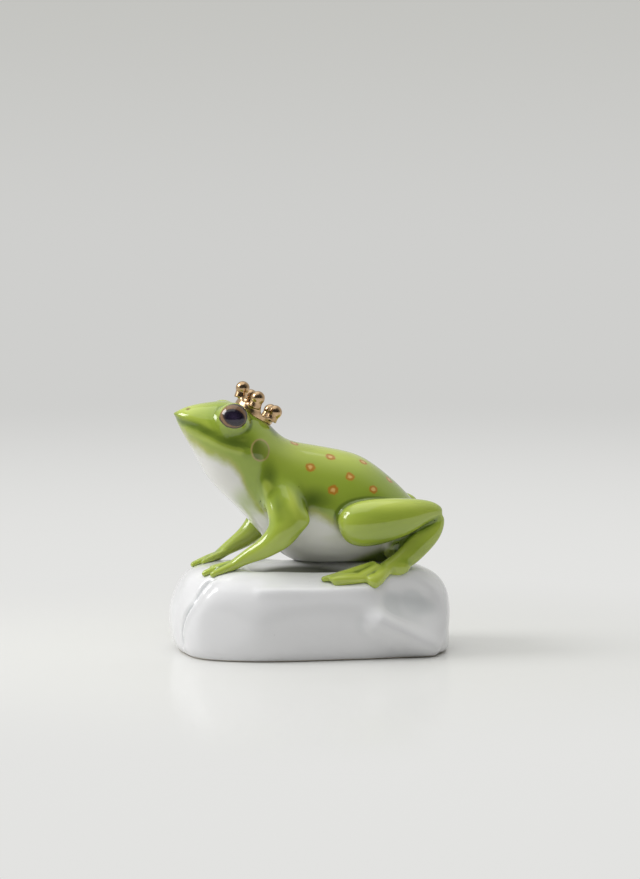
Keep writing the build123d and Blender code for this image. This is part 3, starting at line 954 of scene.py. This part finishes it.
@dataclass(frozen=True)
class Lump:
    """A pat of clay laid on both sides before the skin is cast, with y counted out from the middle."""

    place: Point
    radii: Point
    lean: float = 0.0  # degrees that its rear tips down
    turn: float = 0.0  # degrees that its rear swings out

    def lay(self, side: Side) -> Piece:
        """Lays the lump on one side, and returns it.

        Args:
            side: Left or right.

        Returns:
            The lump.
        """
        x, y, z = self.place
        bpy.ops.mesh.primitive_uv_sphere_add(segments=48, ring_count=24, radius=MM)
        lump = bpy.context.view_layer.objects.active
        lump.scale = self.radii
        lump.rotation_euler = (0.0, math.radians(self.lean), math.radians(self.turn) * side.value)
        lump.location = Vector((x, side.value * y, z + SEAT)) * MM
        bpy.ops.object.transform_apply()
        return lump


@dataclass(frozen=True)
class Thumb:
    """A push of the thumb, in millimetres over the seat, with y counted out from the middle."""

    place: Point
    push: Point
    radius: float
    sides: tuple[Side, ...] = tuple(Side)

    def offset(self, places: np.ndarray, normals: np.ndarray) -> np.ndarray:
        """How far each point moves.

        Args:
            places: One row per point.
            normals: Outward directions; not used.

        Returns:
            One row per point, in millimetres.
        """
        reach = np.linalg.norm(places - self.place, axis=1) / self.radius
        return np.exp(-(reach**2))[:, None] * np.array(self.push)


@dataclass(frozen=True)
class Crease:
    """A line drawn into the clay, or raised where its depth is negative."""

    line: tuple[Point, ...]
    depth: float
    width: float
    sides: tuple[Side, ...] = tuple(Side)

    def offset(self, places: np.ndarray, normals: np.ndarray) -> np.ndarray:
        """How far each point moves.

        Args:
            places: One row per point.
            normals: Outward directions.

        Returns:
            One row per point, in millimetres.
        """
        near = np.exp(-((line_gap(places, self.line) / self.width) ** 2))
        return -normals * (self.depth * near)[:, None]


@dataclass(frozen=True)
class Scrape:
    """A flat pull of the scraper, which rounds off over its softness."""

    place: Point
    facing: Point
    softness: float
    reach: float
    sides: tuple[Side, ...] = tuple(Side)

    def offset(self, places: np.ndarray, normals: np.ndarray) -> np.ndarray:
        """How far each point moves.

        Args:
            places: One row per point.
            normals: Outward directions; not used.

        Returns:
            One row per point, in millimetres.
        """
        facing = np.array(self.facing) / np.linalg.norm(self.facing)
        proud = (places - self.place) @ facing
        cut = self.softness * np.logaddexp(0, proud / self.softness)
        far = np.linalg.norm(places - self.place, axis=1) / self.reach
        return -(cut * np.exp(-(far**4)))[:, None] * facing


@dataclass(frozen=True)
class Blend:
    """A stretch where the modeller rubs two pieces into each other, with y counted out from the middle."""

    line: tuple[Point, ...]
    radius: float
    steps: int


@dataclass(frozen=True)
class BrushLine:
    """A line of paint, kept on the skin as an attribute of its name."""

    name: str
    line: tuple[Point, ...]
    width: float


Stroke = Thumb | Crease | Scrape


@dataclass
class Skin:
    """Pieces of the frame fused into one soft glazed skin and parted again at their seams."""

    name: str
    nodes: tuple[str, ...]
    voxel: float  # millimetres
    even_steps: int = 6
    seam_steps: int = 0
    seam_reach: float = 1.0  # millimetres from a seam that the glaze rounds over
    limbs: tuple[str, ...] = ()
    pool_depth: float = 0.12  # millimetres of hollow that count as a full pool
    pool_steps: int = 30
    plugs: tuple[tuple[Point, float, float], ...] = ()
    lumps: tuple[Lump, ...] = ()
    blends: tuple[Blend, ...] = ()
    strokes: tuple[Stroke, ...] = ()
    brush_lines: tuple[BrushLine, ...] = ()
    settle_steps: int = 4
    owner_reach: float = 6.0  # millimetres within which a node can own a point
    owner_softness: float = 0.5  # millimetres over which two nodes share a point
    owner_steps: int = 10
    gaps: np.ndarray | None = None  # metres from each point to each node

    def build(self, frame: dict) -> dict[str, Piece]:
        """Makes the skin.

        Args:
            frame: The loaded frame.

        Returns:
            The finished pieces by the names of the nodes that they stand for.
        """
        whole = self._fuse(frame)
        self._rub_in(whole)
        surface = Surface(whole)
        shares = self._owners(frame, surface)
        self._soften(whole, surface)
        self._model(whole, surface)
        self._record(surface, shares)
        return self._part(whole, shares)

    def _fuse(self, frame: dict) -> Piece:
        """Joins copies of the nodes and casts them into one even skin.

        Args:
            frame: The loaded frame.

        Returns:
            The skin.
        """
        bpy.ops.object.select_all(action="DESELECT")
        copies = []
        for name in self.nodes:
            copy = bpy.data.objects.new(f"{self.name}_copy", frame["nodes"][name].data.copy())
            bpy.context.scene.collection.objects.link(copy)
            copies.append(copy)
        for place, radius, depth in self.plugs:
            spot = Vector(place) * MM
            bpy.ops.mesh.primitive_cylinder_add(radius=radius * MM, depth=depth * MM, location=spot)
            bpy.ops.object.transform_apply(location=True)
            copies.append(bpy.context.view_layer.objects.active)
        copies += [lump.lay(side) for lump in self.lumps for side in Side]
        bpy.ops.object.select_all(action="DESELECT")
        for copy in copies:
            copy.select_set(True)
        whole = copies[0]
        bpy.context.view_layer.objects.active = whole
        if len(copies) > 1:
            bpy.ops.object.join()
        whole.name = self.name
        whole.data.materials.clear()
        with edit_mode(whole):
            bpy.ops.mesh.remove_doubles(threshold=MERGE_GAP)
        self._cast(whole)
        return self._outermost(whole)

    def _cast(self, whole: Piece) -> None:
        """Casts a piece into one even mesh."""
        size = self.voxel * MM
        apply_modifier(whole, "REMESH", mode="VOXEL", voxel_size=size, use_smooth_shade=True)

    def _outermost(self, whole: Piece) -> Piece:
        """Drops closed hollows inside the skin, and returns the skin.

        Args:
            whole: The skin.

        Returns:
            The outer shell.
        """
        with edit_mode(whole):
            bpy.ops.mesh.separate(type="LOOSE")
        shells = list(bpy.context.selected_objects)
        largest = max(shells, key=lambda shell: shell.dimensions.length)
        for shell in shells:
            if shell is not largest:
                bpy.data.objects.remove(shell)
        largest.name = self.name
        return largest

    def _owners(self, frame: dict, surface: Surface) -> np.ndarray:
        """Finds how much each node owns each point of the skin.

        Args:
            frame: The loaded frame.
            surface: The skin.

        Returns:
            One row per point and one column per node, from 0 to 1.
        """
        if len(self.nodes) == 1:
            return np.ones((surface.count, 1))
        limit = self.owner_reach * MM
        gaps = np.full((surface.count, len(self.nodes)), limit)
        points = surface.points
        depsgraph = bpy.context.evaluated_depsgraph_get()
        for k, name in enumerate(self.nodes):
            tree = BVHTree.FromObject(frame["nodes"][name], depsgraph)
            low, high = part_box(name)
            near = np.all((points > np.array(low) - limit) & (points < np.array(high) + limit), axis=1)
            for number in np.flatnonzero(near):
                gap = tree.find_nearest(points[number], limit)[3]
                if gap is not None:
                    gaps[number, k] = gap
        self.gaps = gaps
        further = gaps - gaps.min(axis=1, keepdims=True)
        shares = np.exp(-((further / (self.owner_softness * MM)) ** 2))
        shares /= shares.sum(axis=1, keepdims=True)
        return surface.spread(shares, self.owner_steps)

    def _soften(self, whole: Piece, surface: Surface) -> None:
        """Evens the skin out, most along the seams, as slip and glaze do.

        Args:
            whole: The skin.
            surface: The skin as arrays.
        """
        apply_modifier(whole, "SMOOTH", factor=0.5, iterations=self.even_steps)
        if self.seam_steps:
            second = np.sort(self.gaps, axis=1)[:, 1]
            weight = surface.spread(np.clip(1.5 - second / (self.seam_reach * MM), 0, 1), 12)
            self._rub(whole, weight, self.seam_steps)

    def _rub(self, whole: Piece, weight: np.ndarray, steps: int) -> None:
        """Smooths the skin where a weight says so.

        Args:
            whole: The skin.
            weight: One number per point, from 0 to 1.
            steps: How often it is smoothed.
        """
        group = whole.vertex_groups.new(name="rubbed")
        for number in np.flatnonzero(weight > 0.01):
            group.add([int(number)], float(weight[number]), "REPLACE")
        apply_modifier(whole, "SMOOTH", factor=0.5, iterations=steps, vertex_group="rubbed")
        whole.vertex_groups.clear()

    def _rub_in(self, whole: Piece) -> None:
        """Rubs pieces into each other, and casts the skin again without the folds that this leaves.

        Args:
            whole: The skin.
        """
        if not self.blends:
            return
        surface = Surface(whole)
        for blend in self.blends:
            gap = line_gap(surface.folded_mm, blend.line)
            self._rub(whole, np.exp(-((gap / blend.radius) ** 2)), blend.steps)
        self._cast(whole)

    def _model(self, whole: Piece, surface: Surface) -> None:
        """Pushes, creases and scrapes the skin by hand.

        Args:
            whole: The skin.
            surface: The skin as arrays.
        """
        seat = np.array((0.0, 0.0, SEAT))
        for stroke in self.strokes:
            for side in stroke.sides:
                flip = np.array((1, side.value, 1))
                places = (surface.points / MM - seat) * flip
                moves = stroke.offset(places, surface.normals * flip) * flip
                surface.points = surface.points + moves * MM
        apply_modifier(whole, "SMOOTH", factor=0.5, iterations=self.settle_steps)

    def _record(self, surface: Surface, shares: np.ndarray) -> None:
        """Keeps where glaze pools, what is a limb, the unbroken skin's normals and the brushed lines.

        Args:
            surface: The skin as arrays.
            shares: How much each node owns each point.
        """
        points, normals = surface.points, surface.normals
        even = surface.spread(points, self.pool_steps)
        pool = np.einsum("ij,ij->i", even - points, normals) / (self.pool_depth * MM)
        surface.store("pool", np.clip(surface.spread(pool, 2), -1, 1))
        columns = [self.nodes.index(name) for name in self.limbs]
        limb = shares[:, columns].sum(axis=1) if columns else np.zeros(surface.count)
        surface.store("limb", np.clip(surface.spread(limb, 14), 0, 1))
        surface.store("unbroken", normals)
        for brush in self.brush_lines:
            gap = line_gap(surface.folded_mm, brush.line)
            surface.store(brush.name, np.exp(-((gap / brush.width) ** 2)))

    def _part(self, whole: Piece, shares: np.ndarray) -> dict[str, Piece]:
        """Parts the skin at its seams into closed pieces.

        Args:
            whole: The skin.
            shares: How much each node owns each point.

        Returns:
            The pieces by node name.
        """
        mesh = whole.data
        for name in self.nodes:
            mesh.materials.append(bpy.data.materials.new(f"part_{name}"))
        corners = np.zeros(len(mesh.loops), np.int64)
        mesh.loops.foreach_get("vertex_index", corners)
        starts = np.zeros(len(mesh.polygons), np.int64)
        mesh.polygons.foreach_get("loop_start", starts)
        owned = np.add.reduceat(shares[corners], starts, axis=0)
        mesh.polygons.foreach_set("material_index", owned.argmax(axis=1).astype(np.int32))
        with edit_mode(whole):
            if len(self.nodes) > 1:
                bpy.ops.mesh.separate(type="MATERIAL")
        pieces = {}
        for piece in list(bpy.context.selected_objects):
            name = piece.data.materials[0].name.removeprefix("part_")
            self._close(piece)
            piece.name = f"{name}_glazed"
            piece.data.name = piece.name
            pieces[name] = piece
        return pieces

    def _close(self, piece: Piece) -> None:
        """Closes a parted piece at its seams and gives it the unbroken skin's normals.

        Args:
            piece: The piece.
        """
        with edit_mode(piece):
            bpy.ops.mesh.fill_holes(sides=0)
            bpy.ops.mesh.quads_convert_to_tris(ngon_method="BEAUTY")
        mesh = piece.data
        flat = np.zeros(len(mesh.vertices) * 3, np.float32)
        mesh.attributes["unbroken"].data.foreach_get("vector", flat)
        bpy.ops.object.shade_smooth()
        mesh.normals_split_custom_set_from_vertices(flat.reshape(-1, 3).tolist())
        mesh.attributes.remove(mesh.attributes["unbroken"])
        mesh.materials.clear()


def dress(piece: Piece, node: str, material: Material) -> None:
    """Gives a piece its finish and ties it to the frame.

    Args:
        piece: The finished piece.
        node: The node that it stands for.
        material: Its material.
    """
    piece.data.materials.clear()
    piece.data.materials.append(material)
    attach(piece, BODY)
    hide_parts(node)
    LOG.info("%s stands for %s with %d faces", piece.name, node, len(piece.data.polygons))


NEAR = (Side.LEFT,)  # the side that the photograph shows


@dataclass
class Rock:
    """The lumpy rock, a hollow casting that stands on a bare rim."""

    voxel: float = 0.5
    finish: WhiteGlaze = field(default_factory=WhiteGlaze)
    vent_plug: tuple[Point, float, float] = ((14.0, 0.0, 5.0), 5.0, 1.6)
    top_plug: tuple[Point, float, float] = ((14.0, 0.0, 27.0), 4.0, 3.0)
    near_edge: tuple[Point, ...] = ((-21.0, 28.4, -6.0), (-4.0, 28.6, -6.3), (15.0, 28.2, -6.2))
    seat_hollow: tuple[Point, ...] = ((-17.0, 11.0, 0.0), (-8.0, 12.0, 0.0), (7.0, 12.5, 0.0))
    cleft: tuple[Point, ...] = (
        (-35.5, 17.0, -2.9),
        (-37.3, 16.0, -4.5),
        (-42.3, 15.5, -11.5),
        (-44.0, 11.5, -18.2),
        (-44.4, 9.0, -21.8),
        (-44.5, 8.0, -26.5),
    )
    cleft_lip: tuple[Point, ...] = (
        (-34.5, 19.0, -3.6),
        (-40.8, 18.0, -11.3),
        (-43.2, 13.6, -18.0),
        (-43.8, 11.0, -21.6),
    )
    low_ridge: tuple[Point, ...] = ((17.0, 31.0, -17.3), (25.5, 30.5, -21.8), (36.4, 28.5, -27.5))

    @property
    def strokes(self) -> tuple[Stroke, ...]:
        """How the rock is worked by hand."""
        return (
            Scrape((-3.0, 30.7, -18.0), (0.0, 1.0, 0.03), 0.3, 27.0, NEAR),
            Scrape((-33.0, 25.2, -14.0), (-0.518, 0.855, 0.0), 0.35, 15.0, NEAR),
            Crease(self.near_edge, -1.3, 2.3, NEAR),
            Crease(self.seat_hollow, 5.5, 5.0),
            Thumb((31.0, 27.0, -11.0), (0.0, -4.8, -1.0), 7.5, NEAR),
            Thumb((23.5, 29.0, -10.5), (0.0, -2.2, -0.4), 5.5, NEAR),
            Thumb((38.0, 24.0, -13.5), (0.0, -2.0, 0.0), 5.5, NEAR),
            Crease(self.low_ridge, -2.8, 4.0, NEAR),
            Thumb((44.0, 6.0, -8.5), (1.2, 0.0, 0.5), 9.0),
            Crease(self.cleft_lip, -0.5, 1.4, NEAR),
            Crease(self.cleft, 1.9, 0.95, NEAR),
        )

    def build(self, frame: dict, effects: Effects) -> None:
        """Makes and dresses the rock.

        Args:
            frame: The loaded frame.
            effects: The shared effects.
        """
        skin = Skin(
            name="rock",
            nodes=("rock_base",),
            voxel=self.voxel,
            even_steps=10,
            pool_depth=0.25,
            pool_steps=80,
            plugs=(self.vent_plug, self.top_plug),
            strokes=self.strokes,
        )
        piece = skin.build(frame)["rock_base"]
        dress(piece, "rock_base", self.finish.material(effects))


@dataclass
class Frog:
    """Trunk, head, legs, feet, eyes and ear drums under one painted glaze."""

    voxel: float = 0.36
    finish: GreenGlaze = field(default_factory=GreenGlaze)
    vent_plug: tuple[Point, float, float] = ((14.0, 0.0, 31.2), 3.2, 2.4)
    mouth: tuple[Point, ...] = (
        (-44.2, 1.0, 47.8),
        (-42.5, 4.0, 46.3),
        (-38.1, 9.0, 44.9),
        (-34.7, 12.0, 42.8),
        (-31.3, 13.5, 40.9),
        (-27.0, 14.5, 39.5),
        (-23.0, 15.0, 39.0),
    )
    lower_lip: tuple[Point, ...] = (
        (-41.0, 5.0, 43.8),
        (-35.5, 11.0, 41.0),
        (-30.5, 13.3, 38.6),
        (-26.0, 14.2, 37.4),
    )
    lumps: tuple[Lump, ...] = (
        Lump((10.0, 24.3, -3.7), (8.6, 3.0, 1.9), 0.0, -9.0),
        Lump((16.8, 25.2, -4.2), (3.6, 2.4, 2.2), 0.0, -35.0),
        Lump((24.5, 20.6, -0.6), (5.0, 3.1, 3.0)),
        Lump((29.5, 13.5, 7.0), (8.5, 4.5, 6.0), -30.0),
        Lump((-15.4, 13.4, 22.5), (3.2, 4.4, 7.5), -18.0),
    )
    blends: tuple[Blend, ...] = (
        Blend(((-14.5, 9.0, 33.0), (-12.5, 14.0, 29.0), (-11.4, 17.5, 24.5)), 6.0, 320),
        Blend(((-17.5, 12.0, 27.0), (-16.0, 15.0, 20.0)), 3.4, 160),
        Blend(ring((-27.25, 11.1, 48.2), (-0.17, 0.86, 0.48), 5.4), 1.9, 140),
        Blend(((4.0, 25.0, -3.5), (14.0, 24.0, -3.0), (24.0, 21.0, 0.0)), 3.0, 25),
    )
    strokes: tuple[Stroke, ...] = (
        Thumb((-6.6, 20.5, 15.4), (1.9, 0.2, -0.4), 3.2),
        Crease(((-15.2, 17.5, 23.0), (-14.2, 19.5, 19.0), (-13.6, 20.8, 15.5)), 0.35, 1.8),
        Crease(((-10.6, 19.5, 26.0), (-9.2, 21.2, 20.0), (-8.2, 21.5, 17.0)), -0.4, 2.0),
        Crease(mouth, 0.25, 1.1),
        Crease(lower_lip, -0.3, 1.6),
    )

    def build(self, frame: dict, effects: Effects) -> None:
        """Makes and dresses the frog's skin.

        Args:
            frame: The loaded frame.
            effects: The shared effects.
        """
        limbs = tuple(f"{limb}_{side.word}" for limb in ("foreleg", "hind_leg", "hind_foot") for side in Side)
        eyes = tuple(f"eye_{side.word}" for side in Side)
        ears = tuple(f"tympanum_{side.word}" for side in Side)
        skin = Skin(
            name="frog",
            nodes=("trunk", "head", *limbs, *eyes, *ears),
            voxel=self.voxel,
            even_steps=6,
            seam_steps=40,
            seam_reach=1.4,
            limbs=limbs,
            plugs=(self.vent_plug,),
            lumps=self.lumps,
            blends=self.blends,
            strokes=self.strokes,
            brush_lines=(BrushLine("mouth", self.mouth, 1.5),),
        )
        pieces = skin.build(frame)
        green = self.finish.material(effects, self._spots_on(pieces["trunk"]))
        finishes = {Slot.GREEN: green, Slot.EYE: green.copy(), Slot.EAR: green.copy()}
        for slot, material in finishes.items():
            material.name = slot.value
        for node, piece in pieces.items():
            slot = Slot.EYE if node in eyes else Slot.EAR if node in ears else Slot.GREEN
            dress(piece, node, finishes[slot])

    def _spots_on(self, trunk: Piece) -> list[Point]:
        """Finds where the spots lie on the trunk's skin, in millimetres.

        Args:
            trunk: The trunk's piece.

        Returns:
            Middles of the spots.
        """
        tree = BVHTree.FromObject(trunk, bpy.context.evaluated_depsgraph_get())
        found = []
        for x, y, z in self.finish.spots:
            place, *_ = tree.find_nearest(Vector((x, y, z + SEAT)) * MM)
            found.append(tuple(place / MM))
        return found


@dataclass
class Crown:
    """The gilt crown: a scalloped band and five ball-tipped prongs."""

    voxel: float = 0.15
    prongs: int = 5
    finish: Gilt = field(default_factory=Gilt)

    def build(self, frame: dict, effects: Effects) -> None:
        """Makes and dresses the crown.

        Args:
            frame: The loaded frame.
            effects: The shared effects.
        """
        names = tuple(f"crown_prong_{k}" for k in range(1, self.prongs + 1))
        skin = Skin(
            name="crown",
            nodes=("crown_band", *names),
            voxel=self.voxel,
            even_steps=8,
            seam_steps=50,
            seam_reach=0.9,
            pool_steps=20,
        )
        material = self.finish.material(effects)
        for node, piece in skin.build(frame).items():
            dress(piece, node, material)


@dataclass(frozen=True)
class Lamp:
    """A softbox: where it hangs, what it is turned to, its size in metres and its power in watts."""

    name: str
    place: Point
    target: Point
    size: tuple[float, float]
    power: float


@dataclass
class Studio:
    """A pale floor that fades into the backdrop, softboxes and the camera."""

    frame_pixels: tuple[int, int] = (640, 879)
    aim: Point = (0.0, 0.0, 0.042)
    aim_pixel: tuple[float, float] = (309.0, 522.0)
    azimuth: float = -11.5
    elevation: float = 5.5
    distance: float = 0.9
    focal_pixels: float = 2727.0
    sensor: float = 36.0
    floor_radius: float = 6.0
    near_floor: str = "e4e4e2"
    far_floor: str = "cfcfcd"
    sky: str = "c3c3bf"
    ambient: float = 0.07
    overhead: float = 1.2
    dark_room: str = "303030"
    floor_fade: tuple[float, float] = (0.10, 1.6)  # metres over which the floor turns into the backdrop
    shadow_edge: tuple[float, float] = (0.06, 0.22)  # metres over which the lit floor gives way
    ceiling_rise: tuple[float, float] = (0.25, 0.85)
    sky_rise: tuple[float, float] = (0.0, 0.12)
    unlit_turn: tuple[float, float] = (0.1, -0.6)
    lamps: tuple[Lamp, ...] = (
        Lamp("top_softbox", (-0.10, 0.04, 0.75), (0.0, 0.0, 0.05), (0.90, 0.60), 1.2),
        Lamp("left_softbox", (-0.55, 0.08, 0.50), (0.0, 0.0, 0.05), (0.34, 0.34), 2.8),
    )

    def build(self) -> None:
        """Sets up the studio."""
        bpy.context.scene.view_settings.view_transform = "Standard"
        self._floor()
        self._sky()
        for lamp in self.lamps:
            self._lamp(lamp)
        self._camera()

    def _floor(self) -> None:
        """Lays the floor, which turns into the backdrop's colour away from the figurine."""
        bpy.ops.object.select_all(action="DESELECT")
        bpy.ops.mesh.primitive_circle_add(vertices=96, radius=self.floor_radius, fill_type="NGON")
        floor = bpy.context.view_layer.objects.active
        floor.name = "studio_floor"
        graph, surface, material = new_material("studio_floor")
        place = graph.add("ShaderNodeTexCoord").outputs["Object"]
        reach = graph.length(place)
        far = graph.step(reach, *self.floor_fade)
        colour = graph.blend(far, paint(self.near_floor), paint(self.far_floor))
        surface.inputs["Base Color"].default_value = paint(self.near_floor)
        surface.inputs["Roughness"].default_value = 0.16
        surface.inputs["Specular IOR Level"].default_value = 0.12
        glow = graph.add("ShaderNodeEmission", {"Color": colour})
        rays = graph.add("ShaderNodeLightPath").outputs
        seen = graph.sum(Sum.MOST, rays["Is Camera Ray"], rays["Is Glossy Ray"])
        share = graph.times(seen, graph.step(reach, *self.shadow_edge))
        mixed = graph.add("ShaderNodeMixShader", {0: share, 1: surface.outputs[0], 2: glow.outputs[0]})
        output = next(node for node in graph.tree.nodes if node.type == "OUTPUT_MATERIAL")
        graph.feed(output.inputs["Surface"], mixed.outputs[0])
        floor.data.materials.append(material)

    def _sky(self) -> None:
        """Lights the room, most from overhead, and shows the backdrop's colour."""
        world = bpy.data.worlds.new("studio_room")
        world.use_nodes = True
        bpy.context.scene.world = world
        graph = Graph(world.node_tree)
        rays = graph.add("ShaderNodeLightPath").outputs
        towards = graph.parts(graph.add("ShaderNodeTexCoord").outputs["Generated"])
        ceiling = graph.times(graph.step(towards[2], *self.ceiling_rise), self.overhead)
        light = graph.sum(Sum.ADD, ceiling, self.ambient)
        room = graph.add("ShaderNodeBackground", {"Color": paint(self.near_floor), "Strength": light})
        rise = graph.step(towards[2], *self.sky_rise)
        colour = graph.blend(rise, paint(self.far_floor), paint(self.sky))
        mirrored_room = graph.sum(Sum.MOST, rays["Is Glossy Ray"], rays["Is Transmission Ray"])
        unlit_end = graph.times(mirrored_room, graph.step(towards[1], *self.unlit_turn))
        colour = graph.blend(unlit_end, colour, paint(self.dark_room))
        shown = graph.add("ShaderNodeBackground", {"Color": colour})
        seen = graph.sum(Sum.MOST, rays["Is Camera Ray"], mirrored_room)
        mixed = graph.add("ShaderNodeMixShader", {0: seen, 1: room.outputs[0], 2: shown.outputs[0]})
        output = graph.add("ShaderNodeOutputWorld")
        graph.feed(output.inputs["Surface"], mixed.outputs[0])

    def _lamp(self, lamp: Lamp) -> None:
        """Hangs one softbox.

        Args:
            lamp: What it is and where it hangs.
        """
        bpy.ops.object.light_add(type="AREA", location=lamp.place)
        light = bpy.context.view_layer.objects.active
        light.name = lamp.name
        light.data.shape = "RECTANGLE"
        light.data.size, light.data.size_y = lamp.size
        light.data.energy = lamp.power
        light.visible_camera = False
        turn_to(light, Vector(lamp.target) - Vector(lamp.place))

    def _camera(self) -> None:
        """Stands the camera where the photograph was taken from."""
        turn, rise = math.radians(self.azimuth), math.radians(self.elevation)
        back = Vector((math.sin(turn) * math.cos(rise), -math.cos(turn) * math.cos(rise), math.sin(rise)))
        right = (-back).cross(Vector((0, 0, 1))).normalized()
        up = right.cross(-back)
        width, height = self.frame_pixels
        metres = self.distance / self.focal_pixels
        shift = right * (width / 2 - self.aim_pixel[0]) + up * (self.aim_pixel[1] - height / 2)
        place = Vector(self.aim) + back * self.distance
        towards = Vector(self.aim) + shift * metres - place
        bpy.ops.object.camera_add(location=place)
        camera = bpy.context.view_layer.objects.active
        camera.name = "studio_camera"
        turn_to(camera, towards)
        camera.data.sensor_width = self.sensor
        camera.data.lens = self.focal_pixels * self.sensor / max(self.frame_pixels)
        camera.data.clip_start, camera.data.clip_end = 0.01, 50.0
        bpy.context.scene.camera = camera


def main() -> None:
    """Builds the figurine's sub-assemblies and the studio."""
    logging.basicConfig(level=logging.INFO, format="%(name)s: %(message)s")
    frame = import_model()
    bpy.ops.object.select_all(action="DESELECT")
    effects = Effects()
    for part in (Rock(), Frog(), Crown()):
        part.build(frame, effects)
        LOG.info("%s is finished", type(part).__name__)
    Studio().build()


if __name__ == "__main__":
    main()
